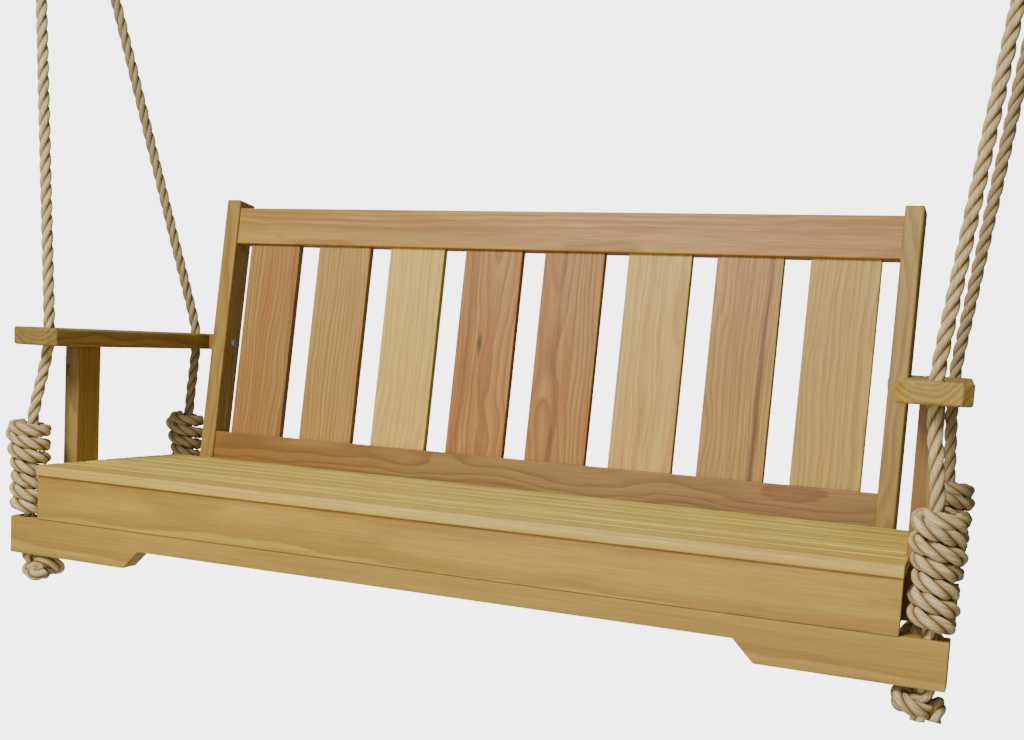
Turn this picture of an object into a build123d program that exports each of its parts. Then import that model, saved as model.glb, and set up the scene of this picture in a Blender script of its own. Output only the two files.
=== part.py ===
from build123d import *

import os
from math import acos, atan2, cos, degrees, pi, radians, sin, sqrt, tan

# Porch swing for two or three people: a bench of dressed timber on four ropes, hung from two
# ceiling brackets. Millimetres, +Z up.
#
# The bench is drawn level in its own axes: X along the seat, Y from the front beam's face to the
# rear, Z up from the underside of the two beams. HANG then turns it about the bracket pins until
# its centre of mass is under them, as it hangs when nobody sits in it, and puts the origin on the
# ceiling midway between the two brackets. "left" is the side at -X.

# ---------------------------------------------------------------- driving sizes
stock = 38.0            # thickness of posts, rails, bearers and arms
eased = 3.0             # radius of a sanded board edge

beam_height = 80.0
beam_depth = 44.0
relief_inset = 304.0    # from the front beam's end to the start of the shallow cut-outs
relief_run = 38.0
relief_rise = 38.0
frame_depth = 571.0     # front face of the front beam to rear face of the rear beam

seat_length = 1767.0
apron_height = 94.0
apron_thick = 19.0
apron_proud = 2.5       # the apron's face stands this far in front of the beam's
slat_thick = 22.0
slat_gap = 3.5
slat_ease = 6.0         # radius of a seat slat's edges
seat_slats = 7          # the rounded front slat included
seat_back_inset = 101.0 # from the rear beam's rear face to the last seat slat's edge
seat_fall = 6.5         # how much lower the seat is at the back than at the front
nose_overhang = 5.5
nose_radius = 12.0
bearer_spread = 380.0   # middle bearers stand at the centre and this far from it

recline = 7.6           # degrees
post_setback = 94.0     # from the rear beam's rear face to a post's face, at the height of the seat's top
post_inset = 61.2       # from the seat's end to the outer face of a back post
post_depth = 66.0
post_foot = 84.0
post_top = 822.0
rail_height = 88.0
rail_setback = 7.3
top_rail_drop = 19.0
bottom_rail_top = 58.5  # above the seat's top, along the recline
back_slats = 8
back_slat_width = 140.0
back_slat_end_gap = 35.3  # from a post to the slat beside it
back_slat_thick = 19.0
tenon = 12.0
mortise_play = 0.3

arm_top = 488.0
arm_width = 117.5
arm_rear_width = 90.0   # an arm's outer edge runs in towards the rear
arm_lap = 37.5          # from the seat's end to an arm's inner edge
arm_front = -10.0
arm_rear_overhang = 41.0
arm_clip = 16.0
arm_post_front = 106.0
arm_post_depth = 72.0
arm_post_foot = 84.0
arm_post_lap = 7.5      # how far an arm post is notched into the seat's end
notch_play = 1.0
spacer_inset = 36.0
spacer_depth = 42.0

rope_dia = 25.4
rope_hole_play = 1.6    # radial
beam_hole_inset = 30.0  # rope hole from the beam's end
arm_hole_front = 45.0
arm_hole_rear_inset = 11.0
arm_hole_inset = 57.6   # from an arm's inner edge
bend_rise = 10.0        # the rope bends this far above and below an arm
wrap_height = 207.0
wrap_head = 82.0        # the looser turns at the top of a wrap
wrap_looseness = 7.9    # how far the looser turns lie out from tight ones
wrap_slack = 1.5        # the lower turns lie this far out from the rope they go round
wrap_play = 0.3
wrap_gap = 0.5          # from a front wrap to the seat's end
rear_wrap_gap = 1.4     # from a rear wrap to the end bearer
wrap_bend_rise = 15.0
wrap_bend_radius = 120.0
knot_radius = 50.0
knot_height = 56.0
knot_offsets = {        # from each rope to the middle of its knot, along X and Y
    "front_left": (27.0, 13.0),
    "front_right": (-16.0, 25.0),
    "rear_left": (30.0, 0.0),
    "rear_right": (-30.0, 4.0),
}

bracket_spread = 185.8  # how much farther out a ceiling bracket's middle is than the holes in the arm
pin_y = 149.2
pin_z = 2035.5
pin_dia = 16.0
pin_play = 0.1          # radial
pin_head_dia = 24.0
pin_head = 6.0
thimble_width = 31.0
thimble_radius = 26.0
thimble_play = 0.3
thimble_gap = 1.0
eye_radius = 30.0       # rope centreline round a thimble
eye_throat = 105.0
splice_length = 110.0
splice_radius = 16.5

plate_length = 130.0
plate_width = 80.0
plate_thick = 6.0
plate_rise = 50.0       # pin axis to the underside of the plate
ear_thick = 6.0
ear_width = 40.0
plate_hole_dia = 9.0
plate_hole_x = 108.0
plate_hole_y = 52.0

bolt_dia = 10.0
nut_play = 0.05         # radial
bolt_play = 0.3
bolt_head_across = 16.0
bolt_head = 6.5
washer_dia = 25.0
washer_thick = 1.5
arm_bolt_head = 3.0     # a low head
bolt_tip_gap = 6.0      # from an arm bolt's tip to the edge of the rope's hole
bolt_hole_spare = 2.0   # how much deeper its hole is
screw_dia = 6.0
screw_head_dia = 12.0
screw_head = 4.0
pocket_dia = 10.0
pocket_drop = 66.0      # from the underside of an arm to the foot of its post's screw pocket

wood_density = 600.0
rope_density = 300.0
steel_density = 7850.0

# ---------------------------------------------------------------- worked-out places
seat_end = seat_length / 2
seat_back_y = frame_depth - seat_back_inset
rear_beam_front = frame_depth - beam_depth
bearer_foot = beam_height
seat_under = beam_height + apron_height
seat_top = seat_under + slat_thick
post_y = frame_depth - post_setback
post_outer = seat_end - post_inset
post_inner = post_outer - stock
back_slat_pitch = (2 * (post_inner - back_slat_end_gap) - back_slat_width) / (back_slats - 1)
arm_under = arm_top - stock
arm_inner = seat_end - arm_lap
arm_rear = frame_depth + arm_rear_overhang
arm_hole_rear = frame_depth - arm_hole_rear_inset
arm_hole_x = arm_inner + arm_hole_inset
arm_post_inner = seat_end - arm_post_lap
arm_post_outer = arm_post_inner + stock
beam_hole_front = beam_depth / 2
beam_hole_rear = frame_depth - beam_depth / 2
rope_radius = rope_dia / 2
wrap_radius = rope_radius * 3 + wrap_slack
wrap_head_radius = rope_radius * 3 + wrap_looseness
front_hole_x = seat_end + wrap_gap + wrap_head_radius
rear_hole_x = arm_post_inner + rear_wrap_gap + wrap_radius
pin_x = arm_hole_x + bracket_spread
hole_radius = rope_radius + rope_hole_play
arm_bolt_tip = arm_hole_x - hole_radius - bolt_tip_gap
bolt_hole_radius = bolt_dia / 2 + bolt_play
screw_hole_radius = screw_dia / 2 + bolt_play
screw_sink_radius = screw_head_dia / 2 + bolt_play
spacer_y = frame_depth - spacer_inset
pin_drop = plate_rise + plate_thick
sides = (("left", -1), ("right", 1))
ends = (
    ("front", arm_hole_front, front_hole_x, beam_hole_front),
    ("rear", arm_hole_rear, rear_hole_x, beam_hole_rear),
)
post_lean = tan(radians(recline))


def post_face_y(z):
    """Y of the back posts' front face at height z."""
    return post_y + (z - seat_top) * post_lean


def box(x0, x1, y0, y1, z0, z1):
    """A plain box between two corners."""
    x0, x1 = min(x0, x1), max(x0, x1)
    size = (x1 - x0, y1 - y0, z1 - z0)
    return Pos((x0 + x1) / 2, (y0 + y1) / 2, (z0 + z1) / 2) * Box(*size)


def board(x0, x1, y0, y1, z0, z1, ease=eased):
    """A board between two corners, with sanded edges."""
    plain = box(x0, x1, y0, y1, z0, z1)
    return fillet(plain.edges(), ease)


def upright(radius, x, y, z0, z1):
    """A cylinder standing along Z."""
    return Pos(x, y, (z0 + z1) / 2) * Cylinder(radius, z1 - z0)


def crosswise(radius, x0, x1, y, z):
    """A cylinder lying along X."""
    x0, x1 = min(x0, x1), max(x0, x1)
    return Pos((x0 + x1) / 2, y, z) * Rot(0, 90, 0) * Cylinder(radius, x1 - x0)


def prism(plane, outline, thick):
    """An outline drawn on a plane, made thick along the plane's normal."""
    return extrude(plane * Polygon(*outline, align=None), thick, dir=plane.z_dir)


def hexagon(across, x0, x1, y, z):
    """A hexagonal head or nut lying along X."""
    x0, x1 = min(x0, x1), max(x0, x1)
    outline = Plane(origin=(x0, y, z), z_dir=(1, 0, 0)) * RegularPolygon(across / 2, 6, major_radius=False)
    return extrude(outline, x1 - x0)


parts = {}
root_parts = {}
density = {}


def keep(name, shape, kilos_per_m3=wood_density):
    """Stores one piece of the swinging bench under its node name."""
    parts[name] = shape
    density[name] = kilos_per_m3


# ---------------------------------------------------------------- beams under the seat
relief_start = front_hole_x + beam_hole_inset - relief_inset


def beam(y0, hole_x, hole_y):
    """A beam whose underside is cut away between its two feet, drilled for the ropes."""
    beam_end, inner = hole_x + beam_hole_inset, relief_start
    outline = [
        (-beam_end, 0), (-inner, 0), (-inner + relief_run, relief_rise),
        (inner - relief_run, relief_rise), (inner, 0), (beam_end, 0),
        (beam_end, beam_height), (-beam_end, beam_height),
    ]
    rear_face = Plane(origin=(0, y0 + beam_depth, 0), x_dir=(1, 0, 0), z_dir=(0, -1, 0))
    shape = prism(rear_face, outline, beam_depth)
    shape = fillet(shape.edges(), 2.0)
    for _, side in sides:
        shape -= upright(hole_radius, side * hole_x, hole_y, -1, beam_height + 1)
    return shape


# ---------------------------------------------------------------- seat
slat_pitch = seat_back_y / (seat_slats - 0.1)
seat_lines = [seat_back_y - slat_pitch * (seat_slats - k) for k in range(seat_slats + 1)]
seat_lines[0] = -apron_proud - nose_overhang


def seat_z(y):
    """Height of the bearers' top, which falls slowly towards the back."""
    return seat_under - seat_fall * max(0.0, y / seat_back_y) ** 2


seat_points = [(y, seat_z(y)) for y in seat_lines]
seat_points[0] = (seat_lines[0], seat_under)
seat_points[1] = (seat_lines[1], seat_under)

bearer_places = {"seat_bearer_middle": 0.0}
for name, side in sides:
    bearer_places[f"seat_bearer_{name}"] = side * bearer_spread
    bearer_places[f"back_bearer_{name}"] = side * (post_inner - stock / 2)
    bearer_places[f"end_bearer_{name}"] = side * (arm_post_inner - stock / 2)


def bearer(x_middle):
    """A seat bearer on edge across both beams, with a flat for each slat and for the bottom rail."""
    front = apron_thick - apron_proud
    rail_foot_z = seat_top + (bottom_rail_top - rail_height) * cos(radians(recline))
    rail_foot_y = post_face_y(rail_foot_z)
    rear_z = rail_foot_z - (frame_depth - rail_foot_y) * post_lean
    outline = [(front, bearer_foot), (front, seat_under)] + seat_points[1:]
    outline += [(rail_foot_y, rail_foot_z), (frame_depth, rear_z), (frame_depth, bearer_foot)]
    side_plane = Plane(origin=(x_middle - stock / 2, 0, 0), x_dir=(0, 1, 0), z_dir=(1, 0, 0))
    return prism(side_plane, outline, stock)


def seat_slat(index):
    """One lengthwise slat lying on its own flat of the bearers."""
    (y0, z0), (y1, z1) = seat_points[index], seat_points[index + 1]
    run = sqrt((y1 - y0) ** 2 + (z1 - z0) ** 2)
    start = 0.0 if index == 0 else slat_gap / 2
    width = run - start - slat_gap / 2
    body = Pos(0, start + width / 2, slat_thick / 2) * Box(seat_length, width, slat_thick)
    front = body.faces().sort_by(Axis.Y)[0]
    if index == 0:
        body = fillet(front.edges().filter_by(Axis.X).sort_by(Axis.Z)[1], nose_radius)
        rest = body.edges().filter_by(Axis.X).group_by(Axis.Y)[-1]
        body = fillet(rest, eased)
        low = body.faces().sort_by(Axis.Z)[0].edges().filter_by(Axis.X).sort_by(Axis.Y)[0]
        body = fillet(low, eased)
    else:
        body = fillet(body.edges(), slat_ease)
    body = Pos(0, y0, z0) * Rot(degrees(atan2(z1 - z0, y1 - y0)), 0, 0) * body
    for _, side in sides:
        body -= box(
            side * (arm_post_inner - notch_play), side * (seat_end + 1),
            arm_post_front - notch_play, arm_post_front + arm_post_depth + notch_play,
            0, arm_top,
        )
    return body


keep("front_beam", beam(0, front_hole_x, beam_hole_front))
keep("rear_beam", beam(rear_beam_front, rear_hole_x, beam_hole_rear))
keep("front_apron", board(
    -seat_end, seat_end, -apron_proud, apron_thick - apron_proud, beam_height, seat_under, 1.5))
for index in range(seat_slats):
    keep("front_nose_slat" if index == 0 else f"seat_slat_{index}", seat_slat(index))

# ---------------------------------------------------------------- reclined back
BACK = Plane(
    origin=(0, post_y, seat_top), x_dir=(1, 0, 0),
    z_dir=(0, -cos(radians(recline)), sin(radians(recline))),
)
up_per_z = 1 / cos(radians(recline))
post_u_top = (post_top - seat_top) * up_per_z
top_rail_top = post_u_top - top_rail_drop
rail_faces = (rail_setback, rail_setback + stock)
slat_front = rail_setback + (stock - back_slat_thick) / 2


def back_box(x0, x1, u0, u1, n0, n1):
    """A box in the plane of the back: u runs up the recline, n from the posts' faces to the rear."""
    return BACK * box(x0, x1, u0, u1, -n1, -n0)


def back_post(side):
    """A back post, cut level at the foot and square to its length at the top."""
    below = post_foot - seat_top - post_depth
    shape = back_box(side * post_inner, side * post_outer, below, post_u_top, 0, post_depth)
    shape = fillet(shape.edges(), 4.0)
    return shape - box(-seat_end, seat_end, 0, frame_depth * 2, -frame_depth, post_foot)


slat_middles = [(k - (back_slats - 1) / 2) * back_slat_pitch for k in range(back_slats)]


def rail(u_top, mortise_edge, mortise_sign):
    """A rail between the posts, with a mortise for each upright slat."""
    shape = back_box(-post_inner, post_inner, u_top - rail_height, u_top, *rail_faces)
    shape = fillet(shape.edges().filter_by(Axis.X), eased)
    depth = tenon + mortise_play
    for middle in slat_middles:
        half = back_slat_width / 2 + mortise_play
        u0, u1 = sorted((mortise_edge - mortise_sign, mortise_edge + mortise_sign * depth))
        shape -= back_box(
            middle - half, middle + half, u0, u1,
            slat_front - mortise_play, slat_front + back_slat_thick + mortise_play)
    return shape


def back_slat(middle):
    """An upright slat, its ends let into both rails."""
    shape = back_box(
        middle - back_slat_width / 2, middle + back_slat_width / 2,
        bottom_rail_top - tenon, top_rail_top - rail_height + tenon,
        slat_front, slat_front + back_slat_thick)
    return fillet(shape.edges(), 2.0)


keep("back_top_rail", rail(top_rail_top, top_rail_top - rail_height, 1))
keep("back_bottom_rail", rail(bottom_rail_top, bottom_rail_top, -1))
for index, middle in enumerate(slat_middles):
    keep(f"back_slat_{index + 1}", back_slat(middle))

# ---------------------------------------------------------------- arms
arm_bolt_z = arm_top - stock / 2
arm_bolt_y = post_face_y(arm_bolt_z) + post_depth * 0.63
post_bolt_places = ((post_y + 4, bearer_foot + 30), (post_y + 38, bearer_foot + 64))
arm_screw_places = ((arm_post_front + 24, bearer_foot + 26), (arm_post_front + 48, bearer_foot + 66))


def armrest(side):
    """A flat arm with its front corners clipped, drilled for the two ropes of its side."""
    outer = arm_inner + arm_width
    outline = [
        (arm_inner, arm_front + arm_clip), (arm_inner + arm_clip, arm_front),
        (outer - arm_clip, arm_front), (outer, arm_front + arm_clip),
        (arm_inner + arm_rear_width, arm_rear), (arm_inner, arm_rear),
    ]
    outline = [(side * x, y) for x, y in outline]
    shape = prism(Plane.XY.offset(arm_under), outline, stock)
    shape = fillet(shape.edges(), 5.0)
    for y in (arm_hole_front, arm_hole_rear):
        shape -= upright(hole_radius, side * arm_hole_x, y, arm_under - 1, arm_top + 1)
    hole_end = arm_bolt_tip + bolt_hole_spare
    return shape - crosswise(
        bolt_hole_radius, side * (arm_inner - 1), side * hole_end, arm_bolt_y, arm_bolt_z)


def arm_post(side):
    """The post under the front of an arm, beside the end bearer, with a screw pocket near its top."""
    shape = board(
        side * arm_post_inner, side * arm_post_outer, arm_post_front,
        arm_post_front + arm_post_depth, arm_post_foot, arm_under)
    pocket = Pos(side * (arm_post_outer - 10), arm_post_front - 2, arm_under - pocket_drop)
    pocket *= Rot(-15, 0, 0) * Pos(0, 0, 20) * Cylinder(pocket_dia / 2, 40)
    shape -= pocket
    for y, z in arm_screw_places:
        shape -= crosswise(screw_hole_radius, side * (arm_post_inner - 1), side * (arm_post_outer + 1), y, z)
        shape -= crosswise(
            screw_sink_radius, side * (arm_post_outer - screw_head), side * (arm_post_outer + 1), y, z)
    return shape


def spacer(side):
    """The block that fills the space between a back post and its arm."""
    spacer_rear = spacer_y + spacer_depth
    shape = board(side * post_outer, side * arm_inner, spacer_y, spacer_rear, arm_under, arm_top, 1.5)
    return shape - crosswise(
        bolt_hole_radius, side * post_inner, side * arm_inner * 1.1, arm_bolt_y, arm_bolt_z)


for name, side in sides:
    post = back_post(side)
    back_bearer = bearer(bearer_places[f"back_bearer_{name}"])
    for y, z in post_bolt_places:
        hole = crosswise(bolt_hole_radius, side * (post_inner - 2 * stock), side * (post_outer + 1), y, z)
        post -= hole
        back_bearer -= hole
    post -= crosswise(
        bolt_hole_radius, side * (post_inner - 1), side * (post_outer + 1), arm_bolt_y, arm_bolt_z)
    end_bearer = bearer(bearer_places[f"end_bearer_{name}"])
    for y, z in arm_screw_places:
        end_bearer -= crosswise(
            screw_hole_radius, side * (arm_post_inner - 30), side * (arm_post_inner + 1), y, z)
    keep(f"back_post_{name}", post)
    keep(f"back_bearer_{name}", back_bearer)
    keep(f"end_bearer_{name}", end_bearer)
    keep(f"seat_bearer_{name}", bearer(bearer_places[f"seat_bearer_{name}"]))
    keep(f"armrest_{name}", armrest(side))
    keep(f"arm_post_{name}", arm_post(side))
    keep(f"arm_spacer_{name}", spacer(side))

keep("seat_bearer_middle", bearer(bearer_places["seat_bearer_middle"]))

# ---------------------------------------------------------------- bolts and screws
arm_bolts, washers, post_bolts, post_nuts, screws = [], [], [], [], []
for _, side in sides:
    face = post_inner
    head = hexagon(
        bolt_head_across, side * (face - washer_thick - arm_bolt_head), side * (face - washer_thick),
        arm_bolt_y, arm_bolt_z)
    shank = crosswise(
        bolt_dia / 2, side * (face - washer_thick), side * arm_bolt_tip, arm_bolt_y, arm_bolt_z)
    arm_bolts.append(head + shank)
    washers.append(
        crosswise(washer_dia / 2, side * (face - washer_thick), side * face, arm_bolt_y, arm_bolt_z)
        - crosswise(bolt_hole_radius, side * (face - 9), side * (face + 1), arm_bolt_y, arm_bolt_z))
    nut_face = post_inner - stock
    for y, z in post_bolt_places:
        head = hexagon(bolt_head_across, side * post_outer, side * (post_outer + bolt_head), y, z)
        tail = nut_face - bolt_head - 3
        post_bolts.append(head + crosswise(bolt_dia / 2, side * tail, side * post_outer, y, z))
        nut = hexagon(bolt_head_across, side * (nut_face - bolt_head), side * nut_face, y, z)
        nut -= crosswise(bolt_dia / 2 + nut_play, side * (tail - 1), side * (nut_face + 1), y, z)
        post_nuts.append(nut)
    for y, z in arm_screw_places:
        screws.append(
            crosswise(screw_head_dia / 2, side * (arm_post_outer - screw_head), side * arm_post_outer, y, z)
            + crosswise(
                screw_dia / 2, side * (arm_post_inner - 28), side * (arm_post_outer - screw_head), y, z))

screw_tip = beam_height + 40
relief_end = relief_start - relief_run
for bearer_name, x in bearer_places.items():
    under = relief_rise if abs(x) < relief_end else 0.0
    for beam_name, y in (("front_beam", beam_depth * 0.7), ("rear_beam", beam_hole_rear)):
        head = upright(screw_head_dia / 2, x, y, under, under + screw_head)
        screws.append(head + upright(screw_dia / 2, x, y, under + screw_head, screw_tip))
        parts[beam_name] -= upright(screw_sink_radius, x, y, -1, under + screw_head)
        parts[beam_name] -= upright(screw_hole_radius, x, y, -1, beam_height + 1)
        parts[bearer_name] -= upright(screw_hole_radius, x, y, 0, screw_tip + 2)

keep("arm_bolts", Compound(children=arm_bolts), steel_density)
keep("bolt_washers", Compound(children=washers), steel_density)
keep("post_bolts", Compound(children=post_bolts), steel_density)
keep("post_nuts", Compound(children=post_nuts), steel_density)
keep("wood_screws", Compound(children=screws), steel_density)


# ---------------------------------------------------------------- ropes
def eye_middle(side, end):
    """Where a rope's eye sits on its bracket pin: the front rope inboard, the rear rope outboard."""
    step = (thimble_width + thimble_gap) / 2
    return Vector(side * (pin_x + (-step if end == "front" else step)), pin_y, pin_z)


def eye_direction(side, end, arm_y):
    """The unit vector across the pin, from the pin down towards the arm."""
    down = Vector(0, arm_y - pin_y, arm_top + bend_rise - pin_z)
    return down.normalized()


def rope_throat(side, end, arm_y):
    """Where the two legs of a rope's eye come together."""
    return eye_middle(side, end) + eye_direction(side, end, arm_y) * eye_throat


def rope_corner(side, arm_y):
    """Where a rope turns upright, just above its arm."""
    return Vector(side * arm_hole_x, arm_y, arm_top + bend_rise)


def tube(path, radius):
    """A round tube along a path."""
    return sweep(Plane(origin=path @ 0, z_dir=path % 0) * Circle(radius), path=path)


def rope(name, side, end, arm_y, beam_x, beam_y):
    """One rope's taut run from its splice through the arm and the beam to its knot."""
    corner = rope_corner(side, arm_y)
    throat = rope_throat(side, end, arm_y)
    points = [
        throat + (corner - throat).normalized() * splice_length,
        corner,
        Vector(side * arm_hole_x, arm_y, arm_under - bend_rise),
        Vector(side * beam_x, beam_y, beam_height + wrap_height + wrap_bend_rise),
        Vector(side * beam_x, beam_y, 0),
    ]
    turns = [(b - a).get_angle(c - b) for a, b, c in zip(points, points[1:], points[2:])]
    in_arm = (points[1] - points[2]).length
    radii = [0.45 * in_arm / tan(radians(turn / 2)) for turn in turns[:2]] + [wrap_bend_radius]
    path = FilletPolyline(*points, radius=radii)
    run = tube(path, rope_radius)
    share = run.volume / (pi * rope_radius ** 2 * path.length)
    print(name, "bend radii", [round(r) for r in radii], "length", round(path.length, 1),
          "volume over section times length", round(share, 4))
    return run


def rope_eye(side, end, arm_y):
    """The rope's end turned round its thimble and spliced back into itself."""
    middle, down = eye_middle(side, end), eye_direction(side, end, arm_y)
    throat = rope_throat(side, end, arm_y)
    across = Vector(1, 0, 0).cross(down)
    swing = acos(eye_radius / eye_throat)
    touch = [middle + (down * cos(swing) + across * (sign * sin(swing))) * eye_radius for sign in (1, -1)]
    eye = tube(ThreePointArc(touch[0], middle - down * eye_radius, touch[1]), rope_radius)
    for start in touch:
        eye += tube(Line(start, throat), rope_radius)
    below = (rope_corner(side, arm_y) - throat).normalized()
    taper = Cone(splice_radius, rope_radius, splice_length)
    return eye + Pos(throat) * Sphere(splice_radius) + Plane(
        origin=throat + below * splice_length / 2, z_dir=below) * taper


def rope_wrap(x, y):
    """The outer shape of the turns wound round a rope above the beam."""
    tight = Pos(0, 0, (wrap_height - wrap_head) / 2) * Cylinder(wrap_radius, wrap_height - wrap_head)
    head = Pos(0, 0, wrap_height - wrap_head / 2) * Cylinder(wrap_head_radius, wrap_head)
    head = fillet(head.edges(), 12.0)
    shape = fillet(tight.edges().sort_by(Axis.Z)[0], 8.0) + head
    shape -= Pos(0, 0, wrap_height / 2) * Cylinder(rope_radius + wrap_play, wrap_height + 2)
    return Pos(x, y, beam_height) * shape


def stopper_knot(x, y):
    """The outer shape of the knot drawn up under the beam."""
    shape = Cylinder(knot_radius, knot_height)
    low = shape.edges().sort_by(Axis.Z)[0]
    shape = fillet(low, 22.0)
    shape = fillet(shape.faces().sort_by(Axis.Z)[-1].edges(), 12.0)
    return Pos(x, y, -knot_height / 2) * shape


thimbles = []
for side_name, side in sides:
    for end, arm_y, beam_x, beam_y in ends:
        name = f"{end}_{side_name}"
        keep(f"rope_{name}", rope(f"rope_{name}", side, end, arm_y, beam_x, beam_y), rope_density)
        keep(f"rope_eye_{name}", rope_eye(side, end, arm_y), rope_density)
        keep(f"rope_wrap_{name}", rope_wrap(side * beam_x, beam_y), rope_density)
        knot_dx, knot_dy = knot_offsets[name]
        knot = stopper_knot(side * beam_x + knot_dx, beam_y + knot_dy)
        keep(f"stopper_knot_{name}", knot, rope_density)
        groove = Torus(eye_radius, rope_radius + thimble_play)
        body = Cylinder(thimble_radius, thimble_width) - groove
        body -= Cylinder(pin_dia / 2 + pin_play, thimble_width + 2)
        thimbles.append(Pos(eye_middle(side, end)) * Rot(0, 90, 0) * body)
keep("rope_thimbles", Compound(children=thimbles), steel_density)

# ---------------------------------------------------------------- ceiling brackets, which don't swing
ear_inner = thimble_width + thimble_gap * 1.5
pins = []
for name, side in sides:
    middle = side * pin_x
    bracket = box(
        middle - plate_length / 2, middle + plate_length / 2, -plate_width / 2, plate_width / 2,
        -plate_thick, 0)
    bracket = fillet(bracket.edges().filter_by(Axis.Z), 10.0)
    for ear in (-1, 1):
        x0, x1 = sorted((middle + ear * ear_inner, middle + ear * (ear_inner + ear_thick)))
        bracket += box(x0, x1, -ear_width / 2, ear_width / 2, -pin_drop, -plate_thick)
        bracket += crosswise(ear_width / 2, x0, x1, 0, -pin_drop)
    bracket -= crosswise(pin_dia / 2 + pin_play, middle - plate_length, middle + plate_length, 0, -pin_drop)
    for hole_x in (-plate_hole_x / 2, plate_hole_x / 2):
        for hole_y in (-plate_hole_y / 2, plate_hole_y / 2):
            bracket -= upright(plate_hole_dia / 2, middle + hole_x, hole_y, -plate_thick - 1, 1)
    reach = ear_inner + ear_thick
    pin = crosswise(pin_dia / 2, middle - reach - pin_head - 2, middle + reach, 0, -pin_drop)
    pin += crosswise(pin_head_dia / 2, middle + reach, middle + reach + pin_head, 0, -pin_drop)
    nut = hexagon(pin_head_dia, middle - reach - pin_head, middle - reach, 0, -pin_drop)
    nut -= crosswise(pin_dia / 2 + nut_play, middle - reach - pin_head - 1, middle - reach + 1, 0, -pin_drop)
    root_parts[f"ceiling_bracket_{name}"] = bracket
    pins += [pin, nut]

root_parts["swing_pins"] = Compound(children=pins)

# ---------------------------------------------------------------- hanging
weights = {name: sum(s.volume for s in shape.solids()) * density[name] for name, shape in parts.items()}
moment = Vector(0, 0, 0)
for name, shape in parts.items():
    for solid in shape.solids():
        moment += solid.center(CenterOf.MASS) * (solid.volume * density[name])
balance = moment / sum(weights.values())
hang_angle = degrees(atan2(balance.Y - pin_y, pin_z - balance.Z))
print("centre of mass", [round(v, 2) for v in balance], "hang angle", round(hang_angle, 4),
      "mass kg", round(sum(weights.values()) * 1e-9, 2))
HANG = Pos(0, 0, -pin_drop) * Rot(-hang_angle, 0, 0) * Pos(0, -pin_y, -pin_z)

os.makedirs("parts", exist_ok=True)
for name, shape in parts.items():
    export_step(HANG * shape, f"parts/{name}.step")
for name, shape in root_parts.items():
    export_step(shape, f"parts/{name}.step")
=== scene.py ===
"""A porch swing: a slatted bench of oiled cedar on four three-strand ropes, each wound and knotted at a beam.

The bench is described in its own level axes, in metres: X along the seat, Y from the front beam's face to
the rear, Z up from the underside of the beams. BenchAxes turns those into the frame's axes, in which the
bench hangs.
"""

import logging
import math
from dataclasses import dataclass, field, replace
from enum import Enum
from typing import Callable, Iterable, Sequence

import bmesh
import bpy
from mathutils import Matrix, Vector


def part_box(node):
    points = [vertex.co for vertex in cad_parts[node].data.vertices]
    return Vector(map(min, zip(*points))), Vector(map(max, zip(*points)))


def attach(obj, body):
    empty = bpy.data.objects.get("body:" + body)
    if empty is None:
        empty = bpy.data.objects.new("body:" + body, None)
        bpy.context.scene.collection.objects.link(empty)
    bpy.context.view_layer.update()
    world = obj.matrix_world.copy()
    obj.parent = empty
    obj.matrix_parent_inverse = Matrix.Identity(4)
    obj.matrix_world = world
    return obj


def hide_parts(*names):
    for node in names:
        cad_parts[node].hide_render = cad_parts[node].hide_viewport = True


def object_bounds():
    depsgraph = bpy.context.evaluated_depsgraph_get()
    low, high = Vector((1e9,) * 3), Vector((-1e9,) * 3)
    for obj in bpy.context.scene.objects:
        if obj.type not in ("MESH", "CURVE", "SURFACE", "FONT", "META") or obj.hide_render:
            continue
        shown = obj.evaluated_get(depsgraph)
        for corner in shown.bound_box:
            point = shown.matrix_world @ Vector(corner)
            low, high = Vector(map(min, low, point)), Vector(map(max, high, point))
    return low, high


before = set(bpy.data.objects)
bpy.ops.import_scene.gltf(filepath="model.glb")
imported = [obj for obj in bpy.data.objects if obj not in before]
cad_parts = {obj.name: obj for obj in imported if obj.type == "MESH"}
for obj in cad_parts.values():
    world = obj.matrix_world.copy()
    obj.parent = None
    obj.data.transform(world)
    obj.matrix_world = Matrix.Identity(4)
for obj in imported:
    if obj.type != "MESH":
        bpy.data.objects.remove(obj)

log = logging.getLogger("porch_swing")
CAD_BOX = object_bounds()
SWING = "swing"
SEAM = 1e-6


# --------------------------------------------------------------------------------------------------- places
@dataclass(frozen=True)
class BenchAxes:
    """The bench's own level axes, as they hang in the frame.

    anchor and anchor_in_bench are the front beam's middle, in the frame's axes and in the bench's. tilt is
    the angle that the bench hangs turned by, in radians.
    """

    anchor: Vector
    tilt: float
    anchor_in_bench: Vector = field(default_factory=lambda: Vector((0.0, 0.022, 0.040)))

    @classmethod
    def from_frame(cls) -> "BenchAxes":
        """Finds the axes from the two beams, which are alike and stand one behind the other.

        Returns:
            The axes, anchored at the front beam's middle.
        """
        front, rear = (box_middle(node) for node in ("front_beam", "rear_beam"))
        return cls(anchor=front, tilt=math.atan2(rear.z - front.z, rear.y - front.y))

    @property
    def turn(self) -> Matrix:
        """The rotation from bench axes to frame axes."""
        return Matrix.Rotation(self.tilt, 4, "X")

    def place(self, point: Sequence[float]) -> Vector:
        """Turns a point in bench axes into the frame's axes."""
        return self.anchor + self.turn @ (Vector(point) - self.anchor_in_bench)

    def aim(self, direction: Sequence[float]) -> Vector:
        """Turns a direction in bench axes into the frame's axes."""
        return self.turn @ Vector(direction)


def box_middle(node: str) -> Vector:
    """The middle of a node's box at rest."""
    low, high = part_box(node)
    return (Vector(low) + Vector(high)) / 2


BENCH = BenchAxes.from_frame()


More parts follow.
